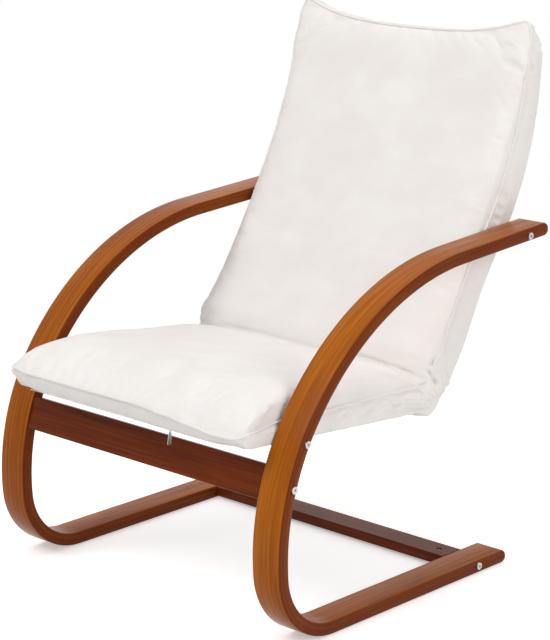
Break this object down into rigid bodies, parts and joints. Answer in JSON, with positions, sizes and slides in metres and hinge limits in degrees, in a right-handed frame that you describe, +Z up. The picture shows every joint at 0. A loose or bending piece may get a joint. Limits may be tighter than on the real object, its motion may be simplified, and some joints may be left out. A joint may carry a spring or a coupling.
{
  "type": "cantilever lounge chair",
  "caption": "Cantilever lounge chair: bent laminated wood side frames sweep from floor runner into arm and carry a high, reclined seat with a padded, zipped fabric cover.",
  "frame": {"origin": "on the floor, below the middle of the chair's bounding box", "axes": "+Z up, the sitter faces -Y, +X is to the right of someone who looks at the chair from the front towards +Y"},
  "size_m": [0.667, 0.7429, 0.8994],
  "materials": {
    "stained_wood": "stained mid-brown, satin lacquer",
    "stained_rail_wood": "stained dark brown, satin lacquer",
    "plain_wood": "bare, sanded",
    "webbing": "woven elastic webbing",
    "foam": null,
    "cover_fabric": "matte off-white cotton canvas",
    "zip_tape": "woven off-white tape",
    "zip_metal": "nickel plated",
    "bolt_steel": "zinc plated"
  },
  "bodies": {
    "chair": {"side_frame_left": "stained_wood", "side_frame_right": "stained_wood", "front_rail": "stained_rail_wood", "floor_rail": "stained_rail_wood", "inner_frame_left": "plain_wood", "inner_frame_right": "plain_wood", "seat_front_rail": "plain_wood", "seat_rear_rail": "plain_wood", "back_top_rail": "plain_wood", "seat_webbing": "webbing", "back_webbing": "webbing", "seat_foam": "foam", "back_foam": "foam", "seat_cover": "cover_fabric", "back_cover": "cover_fabric", "zip_tapes": "zip_tape", "zip_chain": "zip_metal", "zip_stops": "zip_metal", "frame_bolts_left": "bolt_steel", "frame_bolts_right": "bolt_steel", "barrel_nuts_left": "bolt_steel", "barrel_nuts_right": "bolt_steel", "rail_dowels": "plain_wood", "inner_dowels": "plain_wood"},
    "slider": {"zip_slider": "zip_metal"},
    "pull": {"zip_pull": "zip_metal"}
  },
  "joints": [
    {"name": "zip_slide", "type": "slide", "parent": "chair", "child": "slider", "axis": [1, 0, 0], "range_m": [-0.3107, 0]},
    {"name": "zip_pull_swing", "type": "hinge", "parent": "slider", "child": "pull", "pos_m": [0.092, -0.34217, 0.31315], "axis": [0, 0.9969, -0.0785], "range_deg": [-80, 80]}
  ]
}
